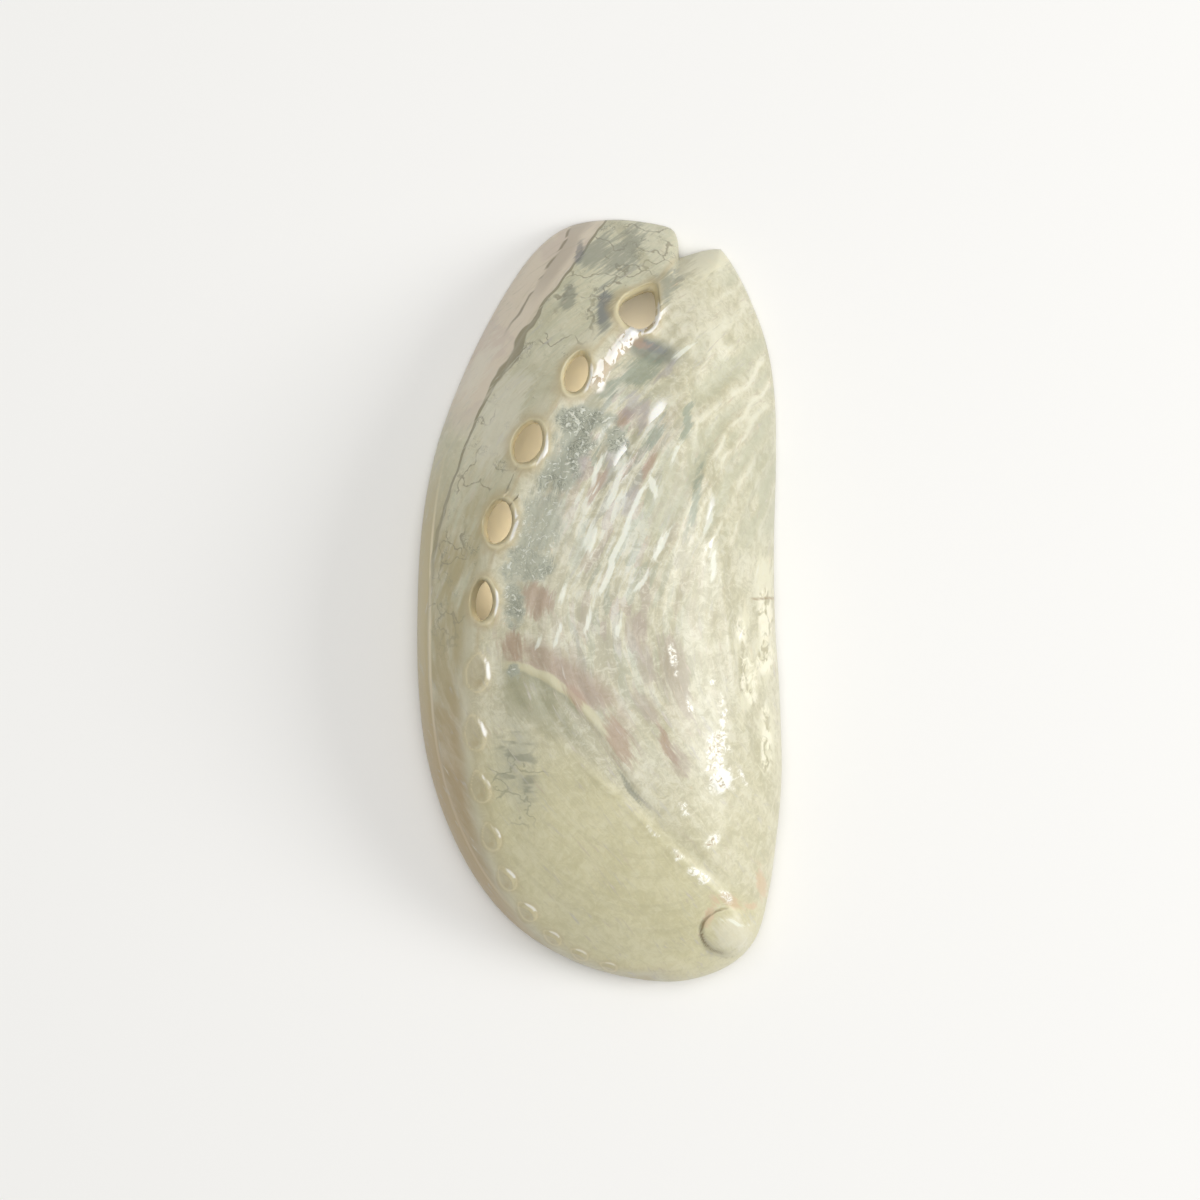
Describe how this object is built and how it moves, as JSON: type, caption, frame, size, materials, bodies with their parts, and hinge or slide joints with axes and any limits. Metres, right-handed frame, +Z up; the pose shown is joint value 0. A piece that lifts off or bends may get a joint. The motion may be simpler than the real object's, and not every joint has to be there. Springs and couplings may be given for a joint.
{
  "type": "abalone shell",
  "caption": "Polished ear-shaped sea shell: a thin pearly dome on a flat rim, with a low spire and a curving row of pores along one flank.",
  "frame": {"origin": "centre of the bounding box, at its base, on the surface that the rim rests on", "axes": "+Y towards the front of the shell, where the notch and the youngest pore are; +X towards the side with the spire and the shelf; +Z up, out of the back of the dome"},
  "size_m": [0.0383, 0.0801, 0.0152],
  "materials": {
    "nacre": "polished mother of pearl, warm silver-cream with faint green, rose and violet tints, glossy"
  },
  "bodies": {
    "root": {"shell": "nacre"}
  },
  "joints": []
}
